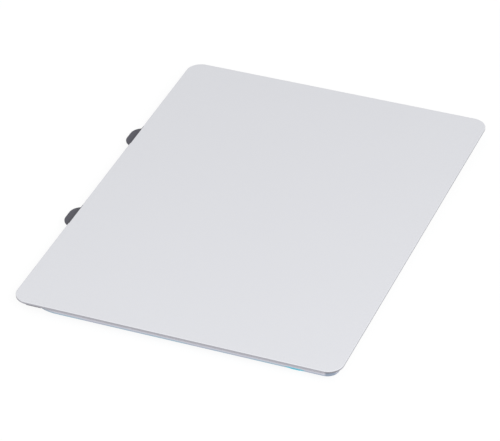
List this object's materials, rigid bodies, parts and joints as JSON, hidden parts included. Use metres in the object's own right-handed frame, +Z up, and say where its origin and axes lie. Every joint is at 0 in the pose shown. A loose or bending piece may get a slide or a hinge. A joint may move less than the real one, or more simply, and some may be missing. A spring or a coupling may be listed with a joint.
{
  "type": "click trackpad module",
  "caption": "Laptop click trackpad module: satin glass plate on a sensor board that tilts on spring leaves over a pressed frame, with click switch, adjusting screw and cable sockets.",
  "frame": {"origin": "middle of the four fixing nuts, on the frame's underside, below the middle of the glass plate", "axes": "+X along the long side to the user's right, +Y away from the user, +Z up out of the touch surface"},
  "size_m": [0.105, 0.078, 0.0033],
  "materials": {
    "satin_glass": "satin",
    "adhesive": "matte",
    "circuit_board": "satin",
    "dark_steel": "satin",
    "aluminium": "satin",
    "rivet_steel": "satin",
    "black_plastic": "matte",
    "grey_plastic": "satin",
    "ivory_plastic": "matte",
    "spring_steel": "satin",
    "tinned_steel": "satin",
    "tin": "satin",
    "gold": "satin",
    "chip_epoxy": "matte",
    "ferrite": "matte",
    "capacitor_ceramic": "satin",
    "resistor_glaze": "satin",
    "frame_steel": "satin",
    "nut_steel": "satin",
    "screw_steel": "satin",
    "rubber": "matte"
  },
  "bodies": {
    "frame": {"support_frame": "frame_steel", "fixing_nuts": "nut_steel", "hinge_leaf_left": "spring_steel", "hinge_leaf_right": "spring_steel", "frame_rivets": "rivet_steel", "adjust_collar": "nut_steel", "down_stops": "rubber"},
    "pad": {"touch_glass": "satin_glass", "glass_adhesive": "adhesive", "sensor_board": "circuit_board", "front_stop_plate": "dark_steel", "stop_plate_film": "adhesive", "hinge_blocks": "aluminium", "pad_rivets": "rivet_steel", "switch_base": "black_plastic", "switch_dome": "spring_steel", "switch_cover": "tinned_steel", "switch_terminals": "tin", "host_socket_housing": "ivory_plastic", "host_socket_contacts": "gold", "host_socket_anchors": "tin", "keyboard_socket_housing": "ivory_plastic", "keyboard_socket_contacts": "gold", "keyboard_socket_anchors": "tin", "touch_controller": "chip_epoxy", "driver_chip": "chip_epoxy", "shield_fence": "tinned_steel", "shield_lid": "tinned_steel", "memory_chip": "chip_epoxy", "voltage_regulator": "chip_epoxy", "chip_leads": "tin", "crystal": "tinned_steel", "inductor": "ferrite", "capacitors": "capacitor_ceramic", "resistors": "resistor_glaze", "bulk_capacitors": "capacitor_ceramic", "end_caps": "tin"},
    "plunger": {"switch_plunger": "grey_plastic"},
    "host_latch": {"host_socket_latch": "black_plastic"},
    "keyboard_latch": {"keyboard_socket_latch": "black_plastic"},
    "adjuster": {"adjust_screw": "screw_steel"}
  },
  "joints": [
    {"name": "click_tilt", "type": "hinge", "parent": "frame", "child": "pad", "pos_m": [0, 0.025, 0.0007], "axis": [1, 0, 0], "range_deg": [0, 0.32], "stiffness_Nm_per_rad": 5, "springref_deg": -0.23, "deforming": ["hinge_leaf_left", "hinge_leaf_right"]},
    {"name": "plunger_press", "type": "slide", "parent": "pad", "child": "plunger", "axis": [0, 0, 1], "range_m": [0, 0.0003], "deforming": ["switch_dome"]},
    {"name": "host_latch_flip", "type": "hinge", "parent": "pad", "child": "host_latch", "pos_m": [0.01792, 0.0037, 0.00112], "axis": [1, 0, 0], "range_deg": [0, 90]},
    {"name": "keyboard_latch_flip", "type": "hinge", "parent": "pad", "child": "keyboard_latch", "pos_m": [0.03308, 0.0037, 0.00112], "axis": [1, 0, 0], "range_deg": [0, 90]},
    {"name": "adjust_turn", "type": "hinge", "parent": "frame", "child": "adjuster", "pos_m": [0, -0.0285, 0], "axis": [0, 0, 1], "range_deg": [-180, 180]}
  ],
  "couplings": [
    {"joint": "plunger_press", "follows": "click_tilt", "m_per_rad": 0.0535}
  ]
}
